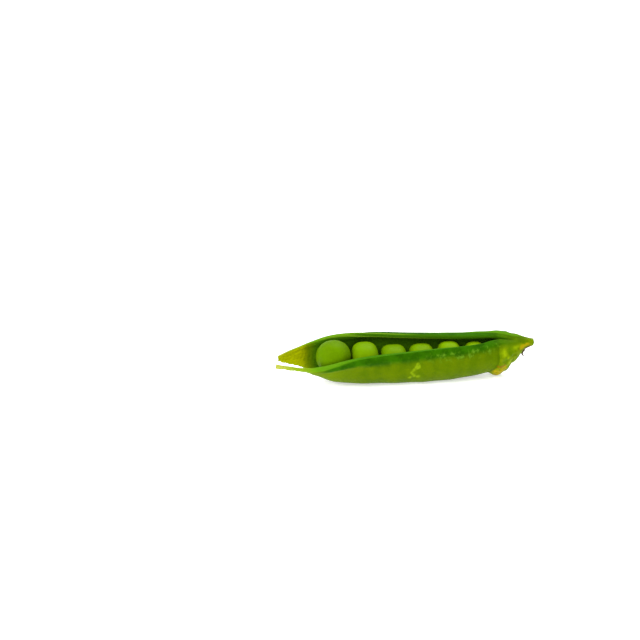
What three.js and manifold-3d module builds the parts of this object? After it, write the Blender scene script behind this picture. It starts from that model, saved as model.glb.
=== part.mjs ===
// A garden pea pod split open along its upper suture, with the six peas it holds.
// Millimetres, +Z up. The pod lies along X, its torn stem end at -X and its blossom end at +X.
// The front valve faces -Y, the back valve +Y, and the flat under the keel is what it rests on.
import * as THREE from 'three';
import { mergeVertices } from 'three/addons/utils/BufferGeometryUtils.js';
import Module from 'manifold-3d';

const wasm = await Module();
wasm.setup();

// Driving dimensions. Every x below is a distance from the stem end.
const podLength = 84;
const wall = 1.0;            // flesh of a valve
const tornWall = 0.65;       // the same at the torn tips, where it thins out
const keelWall = 1.3;        // the thicker seam along the underside
const rimWall = 1.5;         // the thick cord that edges each valve
const thinRim = 0.8;         // the same cord towards the blossom end
const rimSwell = 0.35;       // how far that cord stands out of the valve
const lipRound = 0.3;        // how far the cord's split face bulges
const pieceGap = 0.3;        // left between a pea and what it touches
const tornTo = 13.5;         // the keel is torn from the stem end to here
const closedFrom = 77.5;     // the two rims are still joined from here to the blossom end
const cavityEnd = 80.8;      // the hollow between the valves stops here

// Edges of the valves, as [x, y, z] points that a smooth line runs through.
const rims = {
  front: [[0, -2.4, 8.75], [4, -3.6, 8.3], [7.2, -4.7, 7.9], [10.5, -5.8, 7.8], [14, -6.7, 8.5],
    [17, -7.2, 9.55], [23.7, -7.4, 11.5], [31, -6.6, 12.2], [40, -5.6, 12.45], [53, -5.0, 13.2],
    [60, -4.3, 13.35], [66.5, -3.15, 13.55], [69.3, -2.5, 13.95], [72, -1.9, 14.0],
    [closedFrom, -1.4, 13.2]],
  back: [[0, 1.9, 10.0], [1.4, 2.1, 10.4], [4, 3.0, 11.0], [7.2, 4.0, 11.7], [10.5, 5.0, 12.55],
    [17, 6.2, 14.1], [23.7, 6.0, 14.95], [31, 5.2, 15.05], [40, 3.8, 14.9], [50, 2.4, 14.8],
    [60, 1.1, 14.5], [66.5, 0.3, 14.5], [72, -0.5, 14.3], [closedFrom, -1.4, 13.2]],
};
const suture = [[closedFrom, -1.4, 13.2], [81, -1.2, 13.0], [podLength, -0.8, 12.7]];
const tears = {
  front: [[0, -2.3, 7.6], [4, -3.5, 7.3], [7.2, -4.3, 7.1], [9.4, -4.3, 6.5], [11.5, -2.9, 4.7],
    [tornTo, 0, 2.8]],
  back: [[0, 1.7, 8.3], [1.4, 1.7, 7.8], [4, 1.6, 6.9], [7.2, 1.2, 6.0], [10.5, 0.7, 4.6],
    [tornTo, 0, 2.8]],
};
const keel = [[tornTo, 0, 2.8], [17, 0, 1.3], [20, 0, 0.75], [24, 0, 0.25], [29, 0, -0.1], [40, 0, -0.7],
  [52, 0, -0.7], [60, 0, -0.15], [66.5, 0, 0.6], [69.6, 0, 0.9], [70.8, -0.1, 0.2], [72.4, -0.2, -0.1],
  [74, -0.3, 1.15], [75.4, -0.4, 1.95], [76.6, -0.5, 4.1], [77.8, -0.6, 4.8], [78.9, -0.7, 6.15],
  [79.8, -0.8, 7.6], [81.4, -0.8, 9.25], [podLength, -0.8, 10.5]];

// How far a valve bulges from the straight line between its keel and its rim. Each row is x, the
// degrees between them at the keel and at the rim, and the reach of the curve's handles there as
// shares of the straight line.
const bulges = {
  front: [[0, 5, 5, 0.5, 0.5], [9, 10, 8, 0.5, 0.5], [14, 26, 14, 0.5, 0.5], [22, 44, 24, 0.5, 0.5],
    [31, 52, 32, 0.5, 0.5], [50, 58, 44, 0.5, 0.5], [66, 60, 56, 0.5, 0.5], [75, 58, 60, 0.5, 0.5],
    [podLength, 45, 45, 0.5, 0.5]],
  back: [[0, 12, 12, 0.5, 0.5], [8, 18, 18, 0.5, 0.5], [14, 32, 24, 0.5, 0.5], [22, 50, 40, 0.5, 0.5],
    [31, 68, 84, 0.5, 0.5], [50, 74, 88, 0.5, 0.5], [60, 70, 100, 0.5, 0.5], [66, 64, 108, 0.5, 0.54],
    [70, 62, 112, 0.5, 0.59], [73, 60, 114, 0.5, 0.67], [76, 56, 116, 0.5, 0.83], [80, 50, 116, 0.5, 0.97],
    [podLength, 45, 100, 0.5, 0.9]],
};

// The peas, from the stem end: centre, half sizes along X, Y and Z, and squareness. Neighbours in the
// row press each other flat along X.
const peas = [
  { at: [18.1, -0.1, 9.75], size: [5.7, 5.1, 5.4], square: 2.1 },
  { at: [28.5, 0.7, 8.15], size: [4.4, 5.8, 5.2], square: 2.7 },
  { at: [38.0, 0.4, 7.0], size: [4.25, 5.5, 5.1], square: 3 },
  { at: [47.1, 0.15, 7.1], size: [4.1, 5.3, 5.0], square: 3 },
  { at: [56.2, 0, 7.8], size: [3.75, 4.7, 4.8], square: 2.9 },
  { at: [64.6, -0.3, 8.05], size: [3.25, 4.0, 4.2], square: 2.7 },
];
const peaSwell = 0.3;        // how far a pea pushes the valves out
const skinStep = 0.35;       // height of the withered skin at the blossom end
const stalkAt = 0.9;         // height of a seed stalk's root, as a share from keel to rim
const stalkRadius = 0.6;
const stalkSunk = 0.5;       // depth of that root in the valve

const valves = { front: -1, back: 1 };
const { lerp, smoothstep, clamp, degToRad } = THREE.MathUtils;

// The other coordinates of a smooth line through [x, ...] points, at one x
function along(points, x) {
  let i = 0;
  while (i < points.length - 2 && x > points[i + 1][0]) i += 1;
  const [p, q] = [points[i], points[i + 1]];
  const before = points[Math.max(i - 1, 0)];
  const after = points[Math.min(i + 2, points.length - 1)];
  const span = q[0] - p[0];
  const t = clamp((x - p[0]) / span, 0, 1);
  return p.slice(1).map((value, k) => {
    const next = q[k + 1];
    const slopeIn = (next - before[k + 1]) / (q[0] - before[0]) * span;
    const slopeOut = (after[k + 1] - value) / (after[0] - p[0]) * span;
    return value * (1 + 2 * t) * (1 - t) ** 2 + slopeIn * t * (1 - t) ** 2
      + next * t * t * (3 - 2 * t) - slopeOut * t * t * (1 - t);
  });
}

const rimAt = (valve, x) => along(x >= closedFrom ? suture : rims[valve], x);
const keelAt = (valve, x) => along(x >= tornTo ? keel : tears[valve], x);
const turned = ([y, z], angle) => [
  y * Math.cos(angle) - z * Math.sin(angle), y * Math.sin(angle) + z * Math.cos(angle)];
const mixed = (a, b, share) => a.map((value, k) => lerp(value, b[k], share));
const unit = ([y, z]) => [y / Math.hypot(y, z), z / Math.hypot(y, z)];

// A point of a valve's plain curve in its section at x, with the direction that faces outwards there
function valveCurve(valve, x, share) {
  const side = valves[valve];
  const [from, to] = [keelAt(valve, x), rimAt(valve, x)];
  const [keelBulge, rimBulge, keelReach, rimReach] = along(bulges[valve], x);
  const line = [to[0] - from[0], to[1] - from[1]];
  const first = turned(line, -side * degToRad(keelBulge)).map((value, k) => from[k] + value * keelReach);
  const second = turned(line, side * degToRad(rimBulge)).map((value, k) => to[k] - value * rimReach);
  const rest = 1 - share;
  const point = from.map((_, k) => rest ** 3 * from[k] + 3 * rest ** 2 * share * first[k]
    + 3 * rest * share ** 2 * second[k] + share ** 3 * to[k]);
  const slope = from.map((_, k) => rest ** 2 * (first[k] - from[k])
    + 2 * rest * share * (second[k] - first[k]) + share ** 2 * (to[k] - second[k]));
  const [dy, dz] = unit(slope);
  return { point, outward: [side * dz, -side * dy] };
}

// Relief of the outside: the cord along the rim, the swelling that each pea makes, and the step where
// the withered skin over the blossom end of the front valve starts
function relief(valve, x, share) {
  const ends = smoothstep(x, 6, 14) * (1 - smoothstep(x, 76, 81));
  const cord = rimSwell * Math.sin(Math.PI * smoothstep(share, 0.82, 1)) * ends;
  const swell = peas.reduce(
    (sum, { at, size }) => sum + Math.exp(-(((x - at[0]) / size[0]) ** 2) * 2), 0);
  const from = lerp(69, 71.6, smoothstep(share, 0, 0.45));
  const skin = smoothstep(x, from, from + 0.7) * (1 - smoothstep(x, 76, 82))
    * smoothstep(share, 0, 0.15) * (1 - smoothstep(share, 0.68, 0.8));
  return cord + (valve === 'front' ? skinStep * skin : 0)
    + peaSwell * swell * Math.sin(Math.PI * share) ** 2;
}

function outside(valve, x, share) {
  const { point, outward } = valveCurve(valve, x, share);
  const rise = relief(valve, x, share);
  return [x, point[0] + outward[0] * rise, Math.max(0, point[1] + outward[1] * rise)];
}

// The inner face lies a wall's thickness inside. It meets its neighbour under the suture and over the
// keel, and towards the blossom end it shrinks to the middle of the section.
function inside(valve, x, share) {
  const { point, outward } = valveCurve(valve, x, share);
  const atKeel = smoothstep(x, tornTo - 5, tornTo) * (1 - smoothstep(share, 0, 0.2));
  const atRim = smoothstep(x, 50, closedFrom) * smoothstep(share, 0.8, 1);
  const inward = unit(mixed(mixed([-outward[0], -outward[1]], [0, 1], atKeel), [0, -1], atRim));
  const full = smoothstep(x, 2, 14);
  const rim = lerp(rimWall, thinRim, smoothstep(x, 58, 74));
  const thickening = (keelWall - wall) * (1 - smoothstep(share, 0, 0.25))
    + (rim - wall) * smoothstep(share, 0.84, 0.95);
  const thickness = lerp(tornWall, wall + thickening, full);
  const offset = point.map((value, k) => value + inward[k] * thickness);
  const [bottom, top] = [keelAt(valve, x), mixed(rimAt('front', x), rimAt('back', x), 0.5)];
  const middle = mixed(bottom, top, 0.5);
  const shrink = clamp(1 - 1.35 * wall / ((top[1] - bottom[1]) / 2), 0.12, 1);
  const shrunk = middle.map((value, k) => lerp(value, point[k], shrink));
  return [x, ...mixed(offset, shrunk, smoothstep(x, 71, closedFrom))];
}

// Stations along the pod, closer together at its two ends and at the places where its edges meet
function stations(stops) {
  const found = [stops[0][0]];
  stops.slice(1).forEach(([to, steps]) => {
    const from = found[found.length - 1];
    for (let i = 1; i <= steps; i += 1) found.push(lerp(from, to, i / steps));
  });
  return found;
}
const outerStations = stations([[0], [1.4, 3], [4, 3], [tornTo, 8], [24, 7], [68, 24], [74, 9],
  [closedFrom, 3], [cavityEnd, 3], [podLength, 4]]);
const innerStations = outerStations.filter((x) => x <= cavityEnd + 1e-6);
const outerRows = 11;
const innerRows = 9;

function shellGeometry() {
  const corners = [];
  const triangle = (side, a, b, c) => corners.push(...(side > 0 ? [a, c, b] : [a, b, c]));
  const strip = (side, lower, upper) => {
    for (let j = 0; j + 1 < lower.length; j += 1) {
      triangle(side, lower[j], upper[j], lower[j + 1]);
      triangle(side, upper[j], upper[j + 1], lower[j + 1]);
    }
  };
  const row = (face, valve, x, rows) => Array.from(
    { length: rows + 1 }, (_, j) => face(valve, x, j / rows));

  Object.entries(valves).forEach(([valve, side]) => {
    const outer = outerStations.map((x) => row(outside, valve, x, outerRows));
    const inner = innerStations.map((x) => row(inside, valve, x, innerRows));
    const lip = (i) => {
      const x = outerStations[i];
      const [a, b] = [outer[i][outerRows], inner[i][innerRows]];
      const { outward } = valveCurve(valve, x, 1);
      const round = side * lipRound * (1 - smoothstep(x, 60, closedFrom));
      const [, y, z] = mixed(a, b, 0.5);
      return [a, [x, y - outward[1] * round, z + outward[0] * round], b];
    };
    for (let i = 0; i + 1 < outer.length; i += 1) strip(side, outer[i], outer[i + 1]);
    for (let i = 0; i + 1 < inner.length; i += 1) {
      strip(-side, inner[i], inner[i + 1]);
      if (outerStations[i] < closedFrom) strip(side, lip(i), lip(i + 1));
      if (outerStations[i] < tornTo) {
        strip(side, [inner[i][0], outer[i][0]], [inner[i + 1][0], outer[i + 1][0]]);
      }
    }

    // The stem end is closed across the wall, as a fan of the torn edge's points
    const around = [...outer[0], lip(0)[1], ...inner[0].slice().reverse()];
    const centre = mixed(around[3], inner[0][3], 0.5);
    around.forEach((a, k) => triangle(side, a, around[(k + 1) % around.length], centre));

    // The blossom end is a small blunt scar, and the hollow ends in a point
    const scar = [podLength + 0.25, ...mixed(keelAt(valve, podLength), rimAt(valve, podLength), 0.5)];
    const pit = [cavityEnd + 0.4, ...mixed(keelAt(valve, cavityEnd), rimAt(valve, cavityEnd), 0.5)];
    const [lastOuter, lastInner] = [outer[outer.length - 1], inner[inner.length - 1]];
    for (let j = 0; j < outerRows; j += 1) triangle(side, lastOuter[j], scar, lastOuter[j + 1]);
    for (let j = 0; j < innerRows; j += 1) triangle(-side, lastInner[j], pit, lastInner[j + 1]);
  });
  const geometry = new THREE.BufferGeometry();
  geometry.setAttribute('position', new THREE.Float32BufferAttribute(corners.flat(), 3));
  return mergeVertices(geometry, 1e-4);
}

// How far a pea's skin lies from its centre in a given direction
function peaReach({ size, square }, [x, y, z], spare) {
  const across = Math.hypot(y / (size[1] + spare), z / (size[2] + spare));
  return (Math.abs(x / (size[0] + spare)) ** square + across ** square) ** (-1 / square);
}

function peaGeometry(pea) {
  const geometry = new THREE.SphereGeometry(1, 24, 14);
  geometry.deleteAttribute('normal');
  geometry.deleteAttribute('uv');
  geometry.rotateZ(Math.PI / 2);
  const ball = mergeVertices(geometry);
  const position = ball.getAttribute('position');
  for (let i = 0; i < position.count; i += 1) {
    const direction = [position.getX(i), position.getY(i), position.getZ(i)]
      .map((value, k) => value * pea.size[k]);
    const reach = peaReach(pea, direction, 0);
    position.setXYZ(i, ...direction.map((value) => value * reach));
  }
  return ball;
}

function toManifold(geometry) {
  return new wasm.Manifold(new wasm.Mesh({
    numProp: 3,
    vertProperties: new Float32Array(geometry.getAttribute('position').array),
    triVerts: new Uint32Array(geometry.index.array),
  }));
}

function fromManifold(solid) {
  const { vertProperties, triVerts } = solid.getMesh();
  const geometry = new THREE.BufferGeometry();
  geometry.setAttribute('position', new THREE.BufferAttribute(vertProperties, 3));
  geometry.setIndex(new THREE.BufferAttribute(triVerts, 1));
  geometry.computeVertexNormals();
  return geometry;
}

// The short stalk that holds a pea grows from the front valve, just under its rim
function stalkGeometry(pea) {
  const root = new THREE.Vector3(...inside('front', pea.at[0], stalkAt));
  const towards = new THREE.Vector3(...pea.at).sub(root);
  const direction = towards.clone().normalize();
  const skin = peaReach(pea, direction.toArray(), pieceGap);
  const length = towards.length() - skin + stalkSunk;
  const stalk = new THREE.CylinderGeometry(stalkRadius * 0.75, stalkRadius, length, 8);
  stalk.deleteAttribute('normal');
  stalk.deleteAttribute('uv');
  stalk.translate(0, length / 2 - stalkSunk, 0);
  stalk.applyQuaternion(new THREE.Quaternion().setFromUnitVectors(new THREE.Vector3(0, 1, 0), direction));
  stalk.translate(...root.toArray());
  return mergeVertices(stalk);
}

const green = (color, roughness) => new THREE.MeshStandardMaterial({ color, roughness, metalness: 0 });

const pod = new THREE.Group();
let shellSolid = toManifold(shellGeometry());
peas.forEach((pea) => {
  shellSolid = shellSolid.add(toManifold(stalkGeometry(pea)));
});
const shell = new THREE.Mesh(fromManifold(shellSolid), green(0x5f8f12, 0.42));
shell.name = 'pod_shell';
pod.add(shell);
peas.forEach((pea, i) => {
  const mesh = new THREE.Mesh(peaGeometry(pea), green(0x86b81c, 0.35));
  mesh.name = `pea_${i + 1}`;
  mesh.position.set(...pea.at);
  pod.add(mesh);
});

// The origin is on the resting plane, under the middle of the pod's outline
const outline = new THREE.Box3().setFromObject(pod);
const middle = outline.getCenter(new THREE.Vector3());
pod.position.set(-middle.x, -middle.y, -outline.min.z);

export default pod;
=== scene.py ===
import math

import bmesh
import bpy
import numpy as np
from mathutils import Matrix, Vector, noise


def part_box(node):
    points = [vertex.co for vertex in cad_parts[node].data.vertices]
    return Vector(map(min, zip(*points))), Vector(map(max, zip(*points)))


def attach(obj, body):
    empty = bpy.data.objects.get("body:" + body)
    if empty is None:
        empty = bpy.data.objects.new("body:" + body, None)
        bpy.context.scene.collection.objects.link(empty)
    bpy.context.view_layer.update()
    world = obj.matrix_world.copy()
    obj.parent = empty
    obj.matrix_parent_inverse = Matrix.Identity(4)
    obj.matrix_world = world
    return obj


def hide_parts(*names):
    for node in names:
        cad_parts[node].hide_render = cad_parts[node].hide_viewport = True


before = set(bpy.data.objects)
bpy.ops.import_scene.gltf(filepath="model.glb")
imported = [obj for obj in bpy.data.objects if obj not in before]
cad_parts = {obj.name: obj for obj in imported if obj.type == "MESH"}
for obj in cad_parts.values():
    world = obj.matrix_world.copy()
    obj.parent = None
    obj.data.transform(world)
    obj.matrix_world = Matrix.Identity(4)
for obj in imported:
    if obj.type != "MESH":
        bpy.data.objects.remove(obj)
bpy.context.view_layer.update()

# The pod grew as one shell of firm green flesh: two valves that are still joined along the keel
# below and along the upper seam at the blossom end. It was torn open from the stem end, by hand.
# Its tables are in millimetres from the stem end, as the sections of a real pod would be measured.
MM = 0.001
POD_LENGTH = 84.0
WALL = 1.0
TORN_WALL = 0.65
KEEL_WALL = 1.3
RIM_WALL = 1.5
THIN_RIM = 0.8
RIM_SWELL = 0.35
LIP_ROUND = 0.34
TORN_ROUND = 0.16
TIP_ROUND = 0.12
TORN_TO = 13.5
CLOSED_FROM = 77.5
CAVITY_END = 80.8
SCAR_BULGE = 0.25
CAVITY_POINT = 0.4
PEA_SWELL = 0.3
SKIN_STEP = 0.35
FOLD_HEIGHT = 0.09
RIB_HEIGHT = 0.035
UNEVENNESS = 0.1
LONG_JAG = 0.34
SHORT_JAG = 0.16
SIDES = {"front": -1, "back": 1}
ACROSS = 52
LIP_STEPS = 6

RIMS = {
    "front": [(0, -2.4, 8.75), (4, -3.6, 8.3), (7.2, -4.7, 7.9), (10.5, -5.8, 7.8), (14, -6.7, 8.5),
              (17, -7.2, 9.55), (23.7, -7.4, 11.5), (31, -6.6, 12.2), (40, -5.6, 12.45),
              (53, -5.0, 13.2), (60, -4.3, 13.35), (66.5, -3.15, 13.55), (69.3, -2.5, 13.95),
              (72, -1.9, 14.0), (CLOSED_FROM, -1.4, 13.2)],
    "back": [(0, 1.9, 10.0), (1.4, 2.1, 10.4), (4, 3.0, 11.0), (7.2, 4.0, 11.7), (10.5, 5.0, 12.55),
             (17, 6.2, 14.1), (23.7, 6.0, 14.95), (31, 5.2, 15.05), (40, 3.8, 14.9), (50, 2.4, 14.8),
             (60, 1.1, 14.5), (66.5, 0.3, 14.5), (72, -0.5, 14.3), (CLOSED_FROM, -1.4, 13.2)],
}
SUTURE = [(CLOSED_FROM, -1.4, 13.2), (81, -1.2, 13.0), (POD_LENGTH, -0.8, 12.7)]
TEARS = {
    "front": [(0, -2.3, 7.6), (4, -3.5, 7.3), (7.2, -4.3, 7.1), (9.4, -4.3, 6.5), (11.5, -2.9, 4.7),
              (TORN_TO, 0, 2.8)],
    "back": [(0, 1.7, 8.3), (1.4, 1.7, 7.8), (4, 1.6, 6.9), (7.2, 1.2, 6.0), (10.5, 0.7, 4.6),
             (TORN_TO, 0, 2.8)],
}
KEEL = [(TORN_TO, 0, 2.8), (17, 0, 1.3), (20, 0, 0.75), (24, 0, 0.25), (29, 0, -0.1), (40, 0, -0.7),
        (52, 0, -0.7), (60, 0, -0.15), (66.5, 0, 0.6), (69.6, 0, 0.9), (70.8, -0.1, 0.2),
        (72.4, -0.2, -0.1), (74, -0.3, 1.15), (75.4, -0.4, 1.95), (76.6, -0.5, 4.1), (77.8, -0.6, 4.8),
        (78.9, -0.7, 6.15), (79.8, -0.8, 7.6), (81.4, -0.8, 9.25), (POD_LENGTH, -0.8, 10.5)]
# Bulge of the valves, as (x, degrees at the keel and at the rim, reach of the curve's handles there)
BULGES = {
    "front": [(0, 5, 5, 0.5, 0.5), (9, 10, 8, 0.5, 0.5), (14, 26, 14, 0.5, 0.5), (22, 44, 24, 0.5, 0.5),
              (31, 52, 32, 0.5, 0.5), (50, 58, 44, 0.5, 0.5), (66, 60, 56, 0.5, 0.5),
              (75, 58, 60, 0.5, 0.5), (POD_LENGTH, 45, 45, 0.5, 0.5)],
    "back": [(0, 12, 12, 0.5, 0.5), (8, 18, 18, 0.5, 0.5), (14, 32, 24, 0.5, 0.5),
             (22, 50, 40, 0.5, 0.5), (31, 68, 84, 0.5, 0.5), (50, 74, 88, 0.5, 0.5),
             (60, 70, 100, 0.5, 0.5), (66, 64, 108, 0.5, 0.54), (70, 62, 112, 0.5, 0.59),
             (73, 60, 114, 0.5, 0.67), (76, 56, 116, 0.5, 0.83), (80, 50, 116, 0.5, 0.97),
             (POD_LENGTH, 45, 100, 0.5, 0.9)],
}

# The peas press their shapes into the valves, so they are read first: centre and half sizes from
# each node's box, in millimetres. The shift is from the tables' origin to the frame's.
PEA_NAMES = [f"pea_{i}" for i in range(1, 7)]
PEA_1_X = 18.1
PEA_1_Y = -0.1
low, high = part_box(PEA_NAMES[0])
shift = Vector(((low.x + high.x) / 2 / MM - PEA_1_X, (low.y + high.y) / 2 / MM - PEA_1_Y, 0))
peas = []
for name in PEA_NAMES:
    low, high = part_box(name)
    centre = (low + high) / 2 / MM - shift
    peas.append({"name": name, "at": centre, "size": (high - low) / 2 / MM})


# From 0 at start to 1 at stop, without a corner at either
def ease(x, start, stop):
    t = np.clip((x - start) / (stop - start), 0, 1)
    return t * t * (3 - 2 * t)


def blend(a, b, share):
    return a + (b - a) * share


# The other coordinates of a smooth line through (x, ...) points, at one x
def along(points, x):
    i = 0
    while i < len(points) - 2 and x > points[i + 1][0]:
        i += 1
    p, q = np.array(points[i], float), np.array(points[i + 1], float)
    before, after = np.array(points[max(i - 1, 0)]), np.array(points[min(i + 2, len(points) - 1)])
    span = q[0] - p[0]
    t = min(max((x - p[0]) / span, 0), 1)
    slope_in = (q - before)[1:] / (q[0] - before[0]) * span
    slope_out = (after - p)[1:] / (after[0] - p[0]) * span
    return (p[1:] * (1 + 2 * t) * (1 - t) ** 2 + slope_in * t * (1 - t) ** 2
            + q[1:] * t * t * (3 - 2 * t) - slope_out * t * t * (1 - t))


def rim_at(valve, x):
    return along(SUTURE if x >= CLOSED_FROM else RIMS[valve], x)


def keel_at(valve, x):
    return along(KEEL if x >= TORN_TO else TEARS[valve], x)


def turned(line, degrees):
    c, s = math.cos(math.radians(degrees)), math.sin(math.radians(degrees))
    return np.array((line[0] * c - line[1] * s, line[0] * s + line[1] * c))


# Points of a valve's plain curve in its section at x, and the directions that face outwards there
def valve_curve(valve, x, share):
    side = SIDES[valve]
    start, stop = keel_at(valve, x), rim_at(valve, x)
    keel_bulge, rim_bulge, keel_reach, rim_reach = along(BULGES[valve], x)
    first = start + turned(stop - start, -side * keel_bulge) * keel_reach
    second = stop - turned(stop - start, side * rim_bulge) * rim_reach
    s = share[:, None]
    r = 1 - s
    point = r ** 3 * start + 3 * r * r * s * first + 3 * r * s * s * second + s ** 3 * stop
    slope = r * r * (first - start) + 2 * r * s * (second - first) + s * s * (stop - second)
    slope /= np.linalg.norm(slope, axis=1)[:, None]
    return point, np.stack((side * slope[:, 1], -side * slope[:, 0]), 1), slope


# The rim is thickened by a cord of tough fibre, which fades out at both ends
def cord(x, share):
    ends = ease(x, 6, 14) * (1 - ease(x, 76, 81))
    return np.sin(np.pi * ease(share, 0.82, 1)) * ends


# How much of a point is withered skin, which starts at a crease near the blossom end
def withered(valve, x, share):
    start = blend(69, 71.6, ease(share, 0, 0.62))
    skin = ease(x, start, start + 0.7) * (1 - ease(share, 0.68, 0.8))
    return skin if valve == "front" else skin * ease(x, 74, 79)


# How far the outer wall stands out: the rim cord, a swelling over each pea, the step and folds of
# the withered skin, and the small unevenness of anything grown
def relief(valve, x, share):
    swell = sum(math.exp(-(((x - pea["at"].x) / pea["size"].x) ** 2) * 2) for pea in peas)
    skin = withered("front", x, share) * (1 - ease(x, 76, 82)) * ease(share, 0, 0.15)
    folds = FOLD_HEIGHT * np.sin(share * 42 + 1.6 * math.sin(x * 0.7) + x * 0.5) * ease(share, 0.04, 0.2)
    height = RIM_SWELL * cord(x, share) + PEA_SWELL * swell * np.sin(np.pi * share) ** 2
    if valve == "front":
        height = height + (SKIN_STEP + folds) * skin
    uneven = np.array([noise.noise(Vector((x * 0.16, s * 3.1, SIDES[valve] * 5))) for s in share])
    return height + UNEVENNESS * uneven * np.sin(np.pi * share) * ease(x, 0, 12)


# The torn edges are ragged: their points move up the valve by a little, in short fibres
def ragged(valve, x, share):
    jag = LONG_JAG * noise.noise(Vector((x * 1.1, 3.7 * SIDES[valve], 0)))
    jag += SHORT_JAG * noise.noise(Vector((x * 4.1, 9.1 * SIDES[valve], 0)))
    return jag * (1 - ease(x, 11, TORN_TO)) * (1 - ease(share, 0, 0.3))


def outside(valve, x, share):
    point, outward, slope = valve_curve(valve, x, share)
    point = point + outward * relief(valve, x, share)[:, None]
    point = point + slope * ragged(valve, x, share)[:, None]
    point[:, 1] = np.maximum(point[:, 1], 0)
    return np.column_stack((np.full(len(share), x), point))


# The inner wall lies a wall's thickness inwards. It is drawn in to a point where the hollow ends.
def inside(valve, x, share):
    point, outward, slope = valve_curve(valve, x, share)
    at_keel = (ease(x, TORN_TO - 5, TORN_TO) * (1 - ease(share, 0, 0.2)))[:, None]
    at_rim = (ease(x, 50, CLOSED_FROM) * ease(share, 0.8, 1))[:, None]
    inward = blend(blend(-outward, np.array((0.0, 1.0)), at_keel), np.array((0.0, -1.0)), at_rim)
    inward /= np.linalg.norm(inward, axis=1)[:, None]
    rim = blend(RIM_WALL, THIN_RIM, ease(x, 58, 74))
    thicker = (KEEL_WALL - WALL) * (1 - ease(share, 0, 0.25)) + (rim - WALL) * ease(share, 0.84, 0.95)
    thickness = blend(TORN_WALL, WALL + thicker, ease(x, 2, 14))
    ribs = RIB_HEIGHT * np.sin(x * 5.2 + 2 * np.sin(share * 7)) * np.sin(np.pi * share) ** 2
    plain = point + inward * (thickness + ribs)[:, None] + slope * ragged(valve, x, share)[:, None]
    bottom, top = keel_at(valve, x), blend(rim_at("front", x), rim_at("back", x), 0.5)
    middle = blend(bottom, top, 0.5)
    shrink = min(max(1 - 1.35 * WALL / ((top[1] - bottom[1]) / 2), 0.12), 1)
    plain = blend(plain, blend(middle, point, shrink), ease(x, 71, CLOSED_FROM))
    return np.column_stack((np.full(len(share), x), plain))


# The mesh is sheets of quads, which are welded where they meet. Each vertex carries its distance
# along the pod and below the rim in millimetres, what it belongs to, its share of the way from
# keel to rim, and whether it is on the front. Lips and torn edges lie between outer and inner wall.
OUTER_WALL = 0
INNER_WALL = 1
SEED_STALK = 2
DRY_THREAD = 3
shell_points = []
shell_faces = []
shell_marks = []
shell_fronts = []


def marked(x, depth, belongs, share):
    return np.column_stack(np.broadcast_arrays(x, depth, belongs, share))


def add_sheet(points, marks, side, is_front):
    rows, columns = points.shape[:2]
    start = sum(len(p) for p in shell_points)
    index = np.arange(rows * columns).reshape(rows, columns) + start
    quads = np.stack((index[:-1, :-1], index[1:, :-1], index[1:, 1:], index[:-1, 1:]), -1)
    shell_faces.append((quads[..., ::-1] if side > 0 else quads).reshape(-1, 4))
    shell_points.append(points.reshape(-1, 3))
    shell_marks.append(marks.reshape(-1, 4))
    shell_fronts.append(np.full(rows * columns, is_front))


def below_rim(points):
    steps = np.linalg.norm(np.diff(points, axis=0), axis=1)
    return np.concatenate((np.cumsum(steps[::-1])[::-1], (0.0,)))


def rounded(a, b, direction, height):
    t = np.linspace(0, 1, LIP_STEPS + 1)[:, None]
    return a + (b - a) * t + direction * height * np.sin(np.pi * t) ** 0.8


stations = np.concatenate((
    np.linspace(0, TORN_TO, 84), np.linspace(TORN_TO, 70, 210)[1:],
    np.linspace(70, CLOSED_FROM, 44)[1:], np.linspace(CLOSED_FROM, CAVITY_END, 18)[1:],
    np.linspace(CAVITY_END, POD_LENGTH, 20)[1:]))
share = np.linspace(0, 1, ACROSS + 1)
across = np.linspace(0, 1, LIP_STEPS + 1)
for valve, side in SIDES.items():
    is_front = float(side < 0)
    outer, inner, lips, tears = [], [], [], []
    for x in stations:
        points = outside(valve, x, share)
        depth = below_rim(points)
        outer.append((points, marked(x, depth, OUTER_WALL, share)))
        if x > CAVITY_END + 1e-6:
            continue
        wall = inside(valve, x, share)
        inner.append((wall, marked(x, depth, INNER_WALL, share)))
        if x < CLOSED_FROM + 1e-6:
            upward = np.concatenate(((0,), valve_curve(valve, x, np.array((1.0,)))[2][0]))
            height = LIP_ROUND * (1 - ease(x, 60, CLOSED_FROM))
            lips.append((rounded(points[-1], wall[-1], upward, height), marked(x, 0, across, 1)))
        if x < TORN_TO + 1e-6:
            downward = -np.concatenate(((0,), valve_curve(valve, x, np.array((0.0,)))[2][0]))
            height = TORN_ROUND * (1 - ease(x, 11, TORN_TO))
            tears.append((rounded(wall[0], points[0], downward, height),
                          marked(x, depth[0], 1 - across, 0)))
    # The stem end is torn across the wall, in a thin ragged crescent. Its two ends are the ends of
    # the torn keel edge and of the rim's lip, so that no gap is left.
    tips = []
    for j in range(ACROSS + 1):
        crescent = rounded(inner[0][0][j], outer[0][0][j], np.array((-1.0, 0, 0)), TIP_ROUND)
        tips.append((crescent, marked(0, outer[0][1][j, 1], 1 - across, share[j])))
    tips[0] = (tears[0][0], tips[0][1])
    tips[-1] = (lips[0][0][::-1], tips[-1][1])
    for rows, facing in ((outer, side), (inner, -side), (lips, side), (tears, side), (tips, -side)):
        add_sheet(np.array([r[0] for r in rows]), np.array([r[1] for r in rows]), facing, is_front)
    # The blossom end closes in a small blunt scar, and the hollow in a point
    for rows, length, facing in ((outer, SCAR_BULGE, side), (inner, CAVITY_POINT, -side)):
        ring, marks = rows[-1]
        middle = blend(ring[0], ring[-1], 0.5) + np.array((length, 0, 0))
        caps = [blend(ring, middle, t) for t in (0.0, 0.5, 0.999)]
        add_sheet(np.array(caps), np.array([marks] * 3), facing, is_front)

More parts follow.
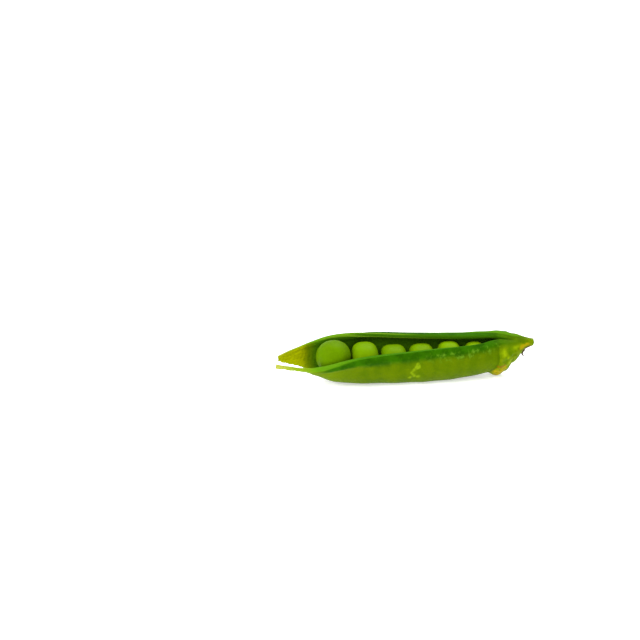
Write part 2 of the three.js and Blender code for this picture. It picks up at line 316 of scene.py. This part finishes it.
# A short stalk under the front rim holds each pea, and fed it while it grew. It is part of the
# shell: it flares where it leaves the wall, and its other end lies against the pea.
STALK_SHARE = 0.9
STALK_ARCH = 0.25
STALK_RADII = (0, 0.95, 0.62, 0.5, 0.52, 0)


def add_tube(path, radii, mark, columns):
    path = np.array(path, float)
    forward = path[-1] - path[0]
    forward /= np.linalg.norm(forward)
    sideways = np.cross(forward, (0, 0, 1.0))
    sideways /= np.linalg.norm(sideways)
    upright = np.cross(sideways, forward)
    angle = np.linspace(0, 2 * np.pi, columns + 1)[None, :, None]
    circle = np.cos(angle) * sideways + np.sin(angle) * upright
    rings = path[:, None, :] + circle * np.array(radii)[:, None, None]
    rings[:, -1] = rings[:, 0]
    add_sheet(rings, np.tile(np.array(mark, float), (len(path), columns + 1, 1)), 1, 1.0)


for pea in peas:
    root = inside("front", pea["at"].x, np.array((STALK_SHARE,)))[0]
    centre = np.array(pea["at"])
    reach = 1 - min(pea["size"]) * 0.97 / np.linalg.norm(centre - root)
    path = []
    for t in (-0.06, -0.03, 0.3 * reach, 0.65 * reach, reach, reach):
        arch = STALK_ARCH * math.sin(math.pi * max(t, 0) / reach)
        path.append(root + (centre - root) * t + np.array((0, 0, arch)))
    add_tube(path, STALK_RADII, (pea["at"].x, 4, SEED_STALK, STALK_SHARE), 12)

# The dried thread that hangs from the scar is what is left of the flower. It grew there, and is
# brown and brittle, with a hook at its end.
THREAD = [(81.05, -1.0, 9.3), (80.95, -1.0, 9.1), (80.55, -1.0, 8.4), (80.35, -1.0, 7.75),
          (80.5, -1.0, 7.3), (80.85, -1.0, 6.95), (80.95, -1.0, 6.85)]
THREAD_RADII = (0, 0.42, 0.34, 0.3, 0.3, 0.26, 0)
add_tube(THREAD, THREAD_RADII, (81.2, 9, DRY_THREAD, 0.1), 10)

# Fibres at the torn tips end at different lengths, and the torn strip in front reaches furthest
TIP_FRAY = 0.5
STRIP_REACH = 1.1
points = np.concatenate(shell_points)
tip_noise = np.array([noise.noise(Vector((0, p[1] * 1.3, p[2] * 1.3))) for p in points])
points[:, 0] += (0.5 + 0.5 * tip_noise) * TIP_FRAY * (1 - ease(points[:, 0], 0, 2.5))
front_share = np.concatenate(shell_fronts)
points[:, 0] -= STRIP_REACH * front_share * (1 - ease(points[:, 0], 0, 5))
marks = np.concatenate(shell_marks)
mesh = bpy.data.meshes.new("pod_shell_fine")
mesh.from_pydata((points + np.array(shift)) * MM, [], np.concatenate(shell_faces).tolist())


def keep_values(label, values):
    kept = mesh.attributes.new(label, "FLOAT", "POINT")
    kept.data.foreach_set("value", values.astype(np.float32))


for k, label in enumerate(("along", "depth", "inner", "share")):
    keep_values(label, marks[:, k])
keep_values("front", front_share)

# A scuff on the front valve: a bent stroke that is broad at the top, and two dots under it, as
# (x, depth below the rim)
SCUFF = [[(44.9, 4.1), (45.3, 5.2), (44.1, 5.6), (42.7, 6.9), (43.2, 7.4), (43.8, 8.3)],
         [(44.1, 5.6), (44.9, 4.1)], [(42.2, 8.9), (42.5, 8.8)], [(44.8, 8.7), (45.2, 8.7)]]
FAR_AWAY = 99.0
scuff_gap = np.full(len(marks), FAR_AWAY)
for stroke in SCUFF:
    for a, b in zip(stroke, stroke[1:]):
        a, b = np.array(a), np.array(b)
        t = np.clip(((marks[:, :2] - a) @ (b - a)) / ((b - a) @ (b - a)), 0, 1)[:, None]
        scuff_gap = np.minimum(scuff_gap, np.linalg.norm(marks[:, :2] - a - (b - a) * t, axis=1))
outer_front = (front_share > 0.5) & (marks[:, 2] < 0.01)
scuff_gap[~outer_front] = FAR_AWAY

# Patches on the withered skin, where it dried to other colours, each as
# (x, share of the way from keel to rim, its two radii)
BRIGHT = [(73.2, 0.755, 0.95, 0.055), (73.7, 0.69, 0.7, 0.05), (77.6, 0.78, 0.8, 0.06),
          (74.9, 0.61, 0.6, 0.03), (75.6, 0.44, 0.8, 0.06)]
OLIVE = [(75.7, 0.78, 1.2, 0.13), (76.2, 0.66, 1.1, 0.09), (74.0, 0.57, 0.9, 0.05),
         (72.0, 0.7, 0.35, 0.05)]
ORANGE = [(71.6, 0.26, 1.5, 0.14), (73.2, 0.32, 1.4, 0.12), (80.0, 0.66, 1.1, 0.13),
          (81.6, 0.66, 1.1, 0.12)]
BROWN = [(71.6, 0.47, 0.6, 0.03), (72.6, 0.46, 0.7, 0.03), (73.6, 0.45, 0.6, 0.025),
         (71.2, 0.12, 0.5, 0.08), (81.0, 0.22, 0.8, 0.22), (82.2, 0.24, 0.9, 0.22),
         (80.4, 0.3, 0.35, 0.12)]
for label, patches in (("bright", BRIGHT), ("olive", OLIVE), ("orange", ORANGE), ("brown", BROWN)):
    weight = np.zeros(len(marks))
    for x, height, wide, tall in patches:
        away = ((marks[:, 0] - x) / wide) ** 2 + ((marks[:, 3] - height) / tall) ** 2
        weight = np.maximum(weight, np.exp(-away))
    weight[~outer_front] = 0
    keep_values(label, weight)
keep_values("scuff_gap", scuff_gap)

# The flat map is the valve unrolled, for veins and streaks that run with the surface. Then the
# sheets are welded into one closed shell.
WELD_GAP = 0.002
SPLINTER = 0.001
uv_map = mesh.uv_layers.new(name="surface")
loop_vertices = np.zeros(len(mesh.loops), np.int32)
mesh.loops.foreach_get("vertex_index", loop_vertices)
flat = np.column_stack((marks[:, 0] / 100, marks[:, 1] / 100 + marks[:, 2] * 0.5))
uv_map.data.foreach_set("uv", flat[loop_vertices].astype(np.float32).ravel())
weld = bmesh.new()
weld.from_mesh(mesh)
bmesh.ops.remove_doubles(weld, verts=weld.verts, dist=WELD_GAP * MM)
bmesh.ops.dissolve_degenerate(weld, edges=weld.edges, dist=SPLINTER * MM)
weld.to_mesh(mesh)
weld.free()
shell = bpy.data.objects.new("pod_shell_fine", mesh)
bpy.context.scene.collection.objects.link(shell)
mesh.shade_smooth()


# Small tools for mixing the skin's colours. A new node's sockets are given by number, so that i3 is
# its fourth, and each is linked to another node's output or set to a plain value.
def srgb(red, green, blue):
    channels = [c / 255 for c in (red, green, blue)]
    return [c / 12.92 if c <= 0.04045 else ((c + 0.055) / 1.055) ** 2.4 for c in channels] + [1.0]


def add(tree, kind, settings=None, output=0, **inputs):
    made = tree.nodes.new(kind)
    for key, value in (settings or {}).items():
        setattr(made, key, value)
    for key, value in inputs.items():
        socket = made.inputs[int(key[1:])]
        if isinstance(value, bpy.types.NodeSocket):
            tree.links.new(value, socket)
        else:
            socket.default_value = value
    return made.outputs[output]


def attribute(tree, label):
    return add(tree, "ShaderNodeAttribute", {"attribute_name": label}, output=2)


def mix(tree, factor, a, b):
    return add(tree, "ShaderNodeMix", {"data_type": "RGBA"}, output=2, i0=factor, i6=a, i7=b)


def maths(tree, operation, a, b=0.0):
    return add(tree, "ShaderNodeMath", {"operation": operation}, i0=a, i1=b)


def times(tree, a, b):
    return maths(tree, "MULTIPLY", a, b)


def ramp(tree, value, start, stop, low=0.0, high=1.0):
    return add(tree, "ShaderNodeMapRange", {"interpolation_type": "SMOOTHSTEP"},
               i0=value, i1=start, i2=stop, i3=low, i4=high)


def speckle(tree, where, scale, detail=3.0, rough=0.5, stretch=(1, 1, 1)):
    mapped = add(tree, "ShaderNodeMapping", i0=where, i3=stretch)
    return add(tree, "ShaderNodeTexNoise", i0=mapped, i2=scale, i3=detail, i4=rough)


def bumped(tree, height, strength, distance, normal=None):
    made = tree.nodes.new("ShaderNodeBump")
    made.inputs["Strength"].default_value = strength
    made.inputs["Distance"].default_value = distance
    tree.links.new(height, made.inputs["Height"])
    if normal is not None:
        tree.links.new(normal, made.inputs["Normal"])
    return made.outputs[0]


# Fresh pod skin: waxy olive-green flesh with a darker band under a pale rim, silky inside, drying
# to yellow and orange at the blossom end
pod_skin = bpy.data.materials.new("pod_skin_fresh")
pod_skin.use_nodes = True
tree = pod_skin.node_tree
surface = tree.nodes["Principled BSDF"]
x_mm = attribute(tree, "along")
depth_mm = attribute(tree, "depth")
inner_share = attribute(tree, "inner")
keel_share = attribute(tree, "share")
front = attribute(tree, "front")
flat_map = add(tree, "ShaderNodeUVMap", {"uv_map": "surface"})
solid_map = add(tree, "ShaderNodeTexCoord", output=3)
cloud = speckle(tree, solid_map, 260, 4)
fine = speckle(tree, solid_map, 1700, 3)
streak = speckle(tree, flat_map, 60, 4, 0.6, (1, 6, 1))
wander = times(tree, maths(tree, "SUBTRACT", cloud, 0.5), 1.6)
ragged_depth = maths(tree, "ADD", depth_mm, wander)
ragged_x = maths(tree, "ADD", x_mm, wander)

flesh = mix(tree, ramp(tree, cloud, 0.35, 0.65), srgb(75, 101, 0), srgb(85, 108, 0))
flesh = mix(tree, ramp(tree, streak, 0.5, 0.75, 0, 0.25), flesh, srgb(70, 101, 0))
flesh = mix(tree, ramp(tree, x_mm, 26, 16), flesh, srgb(94, 118, 0))
# Painted shade: the flesh is painted darker towards the keel, where the valve turns away from the light
flesh = mix(tree, ramp(tree, keel_share, 0.17, 0.05, 0, 0.85), flesh, srgb(62, 70, 0))
# A dark green band follows the rim. Towards the stem end it narrows to a line.
band_start = ramp(tree, x_mm, 21, 30, 1.5, 1.8)
band_stop = ramp(tree, x_mm, 21, 32, 2.4, 4.4)
band = add(tree, "ShaderNodeMapRange", {"interpolation_type": "SMOOTHSTEP"},
           i0=ragged_depth, i1=band_start, i2=band_stop, i3=1.0, i4=0.0)
band = times(tree, band, ramp(tree, x_mm, 11, 17))
band = times(tree, band, ramp(tree, x_mm, 68, 80, 1, 0.25))
band_skin = mix(tree, ramp(tree, cloud, 0.38, 0.62), srgb(31, 76, 0), srgb(42, 92, 0))
flesh = mix(tree, band, flesh, band_skin)
pale_rim = times(tree, ramp(tree, depth_mm, 0.15, 0.5, 1, 0), ramp(tree, x_mm, 26, 12))
flesh = mix(tree, pale_rim, flesh, srgb(84, 132, 10))
# A painted highlight: the back valve's crest is painted as a paler line where light from above catches
# it, darker again on the side of the rim
painted_crest_highlight = times(tree, ramp(tree, depth_mm, 1.1, 1.6), maths(tree, "SUBTRACT", 1.0, front))
painted_crest_highlight = times(tree, painted_crest_highlight, ramp(tree, depth_mm, 2.6, 3.4, 1, 0))
painted_crest_highlight = times(tree, painted_crest_highlight, ramp(tree, x_mm, 34, 50))
flesh = mix(tree, painted_crest_highlight, flesh, srgb(76, 122, 8))
# Waxy bloom rubbed into short pale flecks below the rim, densest over the last two peas
flecks = speckle(tree, flat_map, 85, 3, 0.6, (1, 0.8, 1))
bloom = times(tree, ramp(tree, flecks, 0.5, 0.64), ramp(tree, depth_mm, 0.9, 1.8))
bloom = times(tree, bloom, ramp(tree, depth_mm, 3.4, 5.2, 1, 0))
bloom = times(tree, bloom, ramp(tree, x_mm, 46, 54, 0.1, 0.6))
bloom = times(tree, bloom, times(tree, front, ramp(tree, x_mm, 66, 76, 1, 0.2)))
flesh = mix(tree, bloom, flesh, srgb(98, 140, 30))
scuff_edge = maths(tree, "ADD", attribute(tree, "scuff_gap"), times(tree, wander, 0.7))
scuff = times(tree, ramp(tree, scuff_edge, 0.15, 0.75, 0.75, 0), ramp(tree, fine, 0.3, 0.5, 0.5, 1))
flesh = mix(tree, scuff, flesh, srgb(126, 152, 14))
dots = ramp(tree, speckle(tree, flat_map, 260, 1, 0.5, (1, 1.4, 1)), 0.64, 0.72)
near_dots = ramp(tree, maths(tree, "ABSOLUTE", maths(tree, "SUBTRACT", x_mm, 46)), 2, 6, 0.9, 0)
dots = times(tree, times(tree, dots, near_dots), ramp(tree, depth_mm, 0.8, 2.6, 1, 0))
flesh = mix(tree, dots, flesh, srgb(28, 54, 0))
flesh = mix(tree, ramp(tree, ragged_x, 13, 7), flesh, srgb(118, 144, 20))
flesh = mix(tree, ramp(tree, ragged_x, 6, 0.5), flesh, srgb(158, 162, 66))
# Withered skin starts at a crease. It is yellow-green with olive and bright yellow patches, and
# orange on the lobe at its foot.
crease = add(tree, "ShaderNodeMapRange", {"interpolation_type": "SMOOTHSTEP"},
             i0=keel_share, i1=0.0, i2=0.62, i3=68.2, i4=71.7)
past = maths(tree, "SUBTRACT", x_mm, crease)
dry = times(tree, ramp(tree, past, 0.0, 0.5), ramp(tree, keel_share, 0.8, 0.93, 1, 0))
dry = times(tree, dry, maths(tree, "MAXIMUM", front, ramp(tree, x_mm, 72, 80)))
dry = maths(tree, "MAXIMUM", dry, ramp(tree, ragged_x, 79, 83))
patches = speckle(tree, flat_map, 60, 3, 0.5)
dry_skin = mix(tree, ramp(tree, patches, 0.35, 0.65), srgb(86, 110, 0), srgb(108, 128, 2))
flesh = mix(tree, times(tree, dry, 0.95), flesh, dry_skin)
breakup = ramp(tree, patches, 0.3, 0.6, 0.55, 1)
flesh = mix(tree, times(tree, attribute(tree, "olive"), 0.7), flesh, srgb(74, 110, 0))
flesh = mix(tree, times(tree, attribute(tree, "bright"), breakup), flesh, srgb(134, 158, 6))
flesh = mix(tree, times(tree, ramp(tree, attribute(tree, "orange"), 0.1, 0.7), breakup),
            flesh, srgb(150, 136, 4))
flesh = mix(tree, times(tree, ramp(tree, attribute(tree, "brown"), 0.15, 0.7), breakup),
            flesh, srgb(122, 90, 2))
# Painted shadow: a dark strip is painted on the front valve just before the crease, where the step up to
# the withered skin throws shade
painted_crease_shadow = times(tree, ramp(tree, past, -0.9, -0.1), ramp(tree, past, 0.0, 0.5, 1, 0))
painted_crease_shadow = times(tree, painted_crease_shadow, ramp(tree, keel_share, 0.7, 0.95, 1, 0))
painted_crease_shadow = times(tree, painted_crease_shadow, times(tree, front, 0.4))
flesh = mix(tree, painted_crease_shadow, flesh, srgb(50, 76, 0))
scar = times(tree, ramp(tree, ragged_x, 79.9, 80.3), ramp(tree, keel_share, 0.3, 0.46, 1, 0))
scar = times(tree, scar, ramp(tree, ragged_x, 82.4, 83.0, 1, 0))
flesh = mix(tree, scar, flesh, mix(tree, ramp(tree, fine, 0.4, 0.6), srgb(30, 14, 0), srgb(64, 38, 4)))
freckles = ramp(tree, fine, 0.62, 0.72)
flesh = mix(tree, times(tree, freckles, 0.15), flesh, srgb(110, 136, 12))
# The inner wall is silky and painted darker for the shade inside the hollow, and yellow where the torn
# tip has begun to dry
silk_with_painted_shade = mix(tree, ramp(tree, streak, 0.35, 0.7), srgb(54, 98, 2), srgb(70, 116, 6))
silk_with_painted_shade = mix(tree, ramp(tree, ragged_x, 13.6, 9.8), silk_with_painted_shade, srgb(88, 108, 0))
silk_with_painted_shade = mix(tree, ramp(tree, ragged_x, 10.6, 7.4), silk_with_painted_shade, srgb(132, 140, 0))
tip_streaks = speckle(tree, flat_map, 90, 4, 0.6, (0.4, 2.5, 1))
silk_with_painted_shade = mix(tree, times(tree, ramp(tree, tip_streaks, 0.45, 0.65), ramp(tree, ragged_x, 11, 6)),
           silk_with_painted_shade, srgb(152, 160, 0))
# The split face of the rim: medium green in front, dark behind, with a thin pale line along its inner
# edge behind that is a painted highlight
front_face = mix(tree, ramp(tree, x_mm, 28, 16), srgb(54, 106, 2), srgb(82, 128, 12))
back_face = mix(tree, ramp(tree, streak, 0.4, 0.6), srgb(44, 86, 2), srgb(52, 98, 2))
outer_line = times(tree, ramp(tree, inner_share, 0.1, 0.3, 1, 0), ramp(tree, x_mm, 48, 36))
inner_edge_highlight = times(tree, ramp(tree, inner_share, 0.74, 0.86), ramp(tree, streak, 0.25, 0.5, 0.4, 1))
back_face = mix(tree, maths(tree, "MAXIMUM", outer_line, inner_edge_highlight), back_face, srgb(108, 144, 30))
back_face = mix(tree, ramp(tree, x_mm, 28, 22), back_face, srgb(92, 132, 16))
split = mix(tree, front, back_face, front_face)
threads = speckle(tree, flat_map, 70, 4, 0.65, (0.6, 6, 1))
split = mix(tree, ramp(tree, threads, 0.5, 0.66, 0, 0.4), split, srgb(92, 142, 20))
rim_face = times(tree, ramp(tree, depth_mm, 0.12, 0.4, 1, 0), ramp(tree, inner_share, 0.0, 0.1))
rim_face = times(tree, rim_face, ramp(tree, x_mm, 10, 16))
rim_face = times(tree, rim_face, ramp(tree, x_mm, 76, 79, 1, 0))
colour = mix(tree, ramp(tree, inner_share, 0.85, 0.98), flesh, silk_with_painted_shade)
colour = mix(tree, rim_face, colour, split)
# Seed stalks are pale green, and the dried thread is brown
colour = mix(tree, ramp(tree, inner_share, 1.2, 1.8), colour, srgb(104, 142, 20))
colour = mix(tree, ramp(tree, inner_share, 2.3, 2.8), colour, srgb(56, 38, 4))
tree.links.new(colour, surface.inputs["Base Color"])
tree.links.new(ramp(tree, cloud, 0.2, 0.8, 0.5, 0.62), surface.inputs["Roughness"])
surface.inputs["Subsurface Weight"].default_value = 0.1
surface.inputs["Subsurface Radius"].default_value = (0.0012, 0.0016, 0.0003)
surface.inputs["Subsurface Scale"].default_value = 1.0
surface.inputs["Specular IOR Level"].default_value = 0.06
surface.inputs["Specular Tint"].default_value = (0.6, 0.9, 0.08, 1)
veins = add(tree, "ShaderNodeTexVoronoi", {"feature": "DISTANCE_TO_EDGE"},
            i0=add(tree, "ShaderNodeMapping", i0=flat_map, i3=(1, 0.55, 1)), i2=70)
net = bumped(tree, ramp(tree, veins, 0.0, 0.12), 0.25, 0.00012)
crust = bumped(tree, times(tree, patches, dry), 0.4, 0.0006, net)
pores = bumped(tree, fine, 0.25, 0.00010, crust)
tree.links.new(pores, surface.inputs["Normal"])
mesh.materials.append(pod_skin)
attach(shell, "root")
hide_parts("pod_shell")

# Six fresh peas: firm balls with a thin waxy skin, that grew pressed together in a row, so the
# inner ones are flattened along the pod. Each one keeps its node's centre and size, and it is
# turned from a ball into a squarer form by an exponent, 2 for round and more for squarer.
PEA_SQUARENESS = (2.1, 2.8, 3.2, 3.2, 3.1, 2.9)
# Each pea's tone differs a little, as peas do, and the last two are painted lighter to stand in for
# light they lack in the shade under the back valve
PEA_TONES_AND_PAINTED_LIGHT = (0.2, 0.62, 0.42, 0.55, 0.85, 1.0)
pea_skin = bpy.data.materials.new("pea_skin_fresh")
pea_skin.use_nodes = True
tree = pea_skin.node_tree
surface = tree.nodes["Principled BSDF"]
solid_map = add(tree, "ShaderNodeTexCoord", output=3)
cloud = speckle(tree, solid_map, 210, 3)
fine = speckle(tree, solid_map, 1500, 3)
# The tone attribute mixes darker and lighter skin: partly each pea's own colour, and partly painted
# light that lifts the peas lying in shade
colour = mix(tree, attribute(tree, "tone_and_painted_light"), srgb(74, 108, 0), srgb(112, 148, 0))
colour = mix(tree, ramp(tree, cloud, 0.3, 0.7, 0, 0.3), colour, srgb(96, 138, 0))
colour = mix(tree, ramp(tree, fine, 0.6, 0.75, 0, 0.25), colour, srgb(120, 150, 14))
tree.links.new(colour, surface.inputs["Base Color"])
tree.links.new(ramp(tree, fine, 0.3, 0.7, 0.4, 0.52), surface.inputs["Roughness"])
surface.inputs["Subsurface Weight"].default_value = 0.15
surface.inputs["Subsurface Radius"].default_value = (0.0015, 0.002, 0.0004)
surface.inputs["Subsurface Scale"].default_value = 1.0
surface.inputs["Specular IOR Level"].default_value = 0.06
surface.inputs["Specular Tint"].default_value = (0.7, 0.95, 0.1, 1)
pores = bumped(tree, fine, 0.2, 0.00006)
tree.links.new(bumped(tree, cloud, 0.25, 0.0003, pores), surface.inputs["Normal"])
for pea, square, tone_and_painted_light in zip(peas, PEA_SQUARENESS, PEA_TONES_AND_PAINTED_LIGHT):
    bpy.ops.object.select_all(action="DESELECT")
    bpy.ops.mesh.primitive_uv_sphere_add(segments=96, ring_count=64, radius=1,
                                         rotation=(0, math.pi / 2, 0))
    ball = bpy.context.active_object
    bpy.ops.object.transform_apply(location=False, rotation=True, scale=False)
    ball.name = f"{pea['name']}_fine"
    seed = pea["at"].x
    for vertex in ball.data.vertices:
        x, y, z = vertex.co
        reach = (abs(x) ** square + math.hypot(y, z) ** square) ** (-1 / square)
        dimple = 1 + 0.012 * noise.noise(Vector((x, y, z)) * 1.6 + Vector((seed, 0, 0)))
        spot = Vector((x, y, z)) * reach * min(dimple, 1.004)
        vertex.co = Vector([(pea["at"][k] + shift[k] + spot[k] * pea["size"][k]) * MM for k in range(3)])
    tone_and_light_values = ball.data.attributes.new("tone_and_painted_light", "FLOAT", "POINT")
    tone_and_light_values.data.foreach_set("value", [tone_and_painted_light] * len(ball.data.vertices))
    ball.data.shade_smooth()
    ball.data.materials.append(pea_skin)
    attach(ball, "root")
    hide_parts(pea["name"])

# The plain white table that the pod lies on. It is not part of the pod. It glows a little, so that
# it stays white under soft light and only the contact shadow shows.
bpy.ops.object.select_all(action="DESELECT")
bpy.ops.mesh.primitive_plane_add(size=3, location=(0, 0, 0))
table = bpy.context.active_object
table.name = "table"
bpy.ops.object.transform_apply(location=True, rotation=True, scale=True)
white = bpy.data.materials.new("table_white")
white.use_nodes = True
surface = white.node_tree.nodes["Principled BSDF"]
surface.inputs["Base Color"].default_value = (0.9, 0.9, 0.9, 1)
surface.inputs["Roughness"].default_value = 0.6
surface.inputs["Emission Color"].default_value = (1, 1, 1, 1)
surface.inputs["Emission Strength"].default_value = 0.46
table.data.materials.append(white)

# Soft studio light: a white room, a broad lamp above and behind, one from the left, and a weaker
# one in front
world = bpy.data.worlds.new("white_room")
bpy.context.scene.world = world
world.use_nodes = True
world.node_tree.nodes["Background"].inputs["Color"].default_value = (1, 1, 1, 1)
world.node_tree.nodes["Background"].inputs["Strength"].default_value = 0.75


def add_lamp(name, location, size, power):
    lamp = bpy.data.lights.new(name, "AREA")
    lamp.size = size
    lamp.energy = power
    holder = bpy.data.objects.new(name, lamp)
    bpy.context.scene.collection.objects.link(holder)
    holder.location = location
    holder.rotation_euler = (-Vector(location)).to_track_quat("-Z", "Y").to_euler()


add_lamp("top_lamp", (0.16, 0.28, 0.62), 0.35, 3.6)
add_lamp("left_lamp", (-0.4, -0.3, 0.45), 0.25, 3.0)
add_lamp("front_lamp", (-0.1, -0.7, 0.35), 0.5, 1.0)

# The camera: 28 degrees above the table and 6 degrees to the left of the pod's front, with a long
# lens. The pod lies right of the middle of the frame and below it.
AZIMUTH, ELEVATION = math.radians(-6), math.radians(28)
LENS, SENSOR = 90.0, 36.0
FRAME_WIDTH = 640
MM_PER_PIXEL = 0.329
POD_MIDDLE = 40.2
RIGHT_OF_MIDDLE, BELOW_MIDDLE = 80, 58.8
back = Vector((math.sin(AZIMUTH) * math.cos(ELEVATION), -math.cos(AZIMUTH) * math.cos(ELEVATION),
               math.sin(ELEVATION)))
right = (-back).cross(Vector((0, 0, 1))).normalized()
up = right.cross(-back)
aim = Vector((POD_MIDDLE, 0, 0)) + shift - right * RIGHT_OF_MIDDLE * MM_PER_PIXEL
aim += up * BELOW_MIDDLE * MM_PER_PIXEL
distance = LENS * FRAME_WIDTH * MM_PER_PIXEL / SENSOR
camera = bpy.data.cameras.new("camera")
camera.lens, camera.sensor_width = LENS, SENSOR
camera.clip_start, camera.clip_end = 0.01, 20
viewer = bpy.data.objects.new("camera", camera)
bpy.context.scene.collection.objects.link(viewer)
turn = Matrix((right, up, back)).transposed().to_4x4()
viewer.matrix_world = Matrix.Translation((aim + back * distance) * MM) @ turn
bpy.context.scene.camera = viewer
bpy.context.scene.view_settings.view_transform = "Standard"
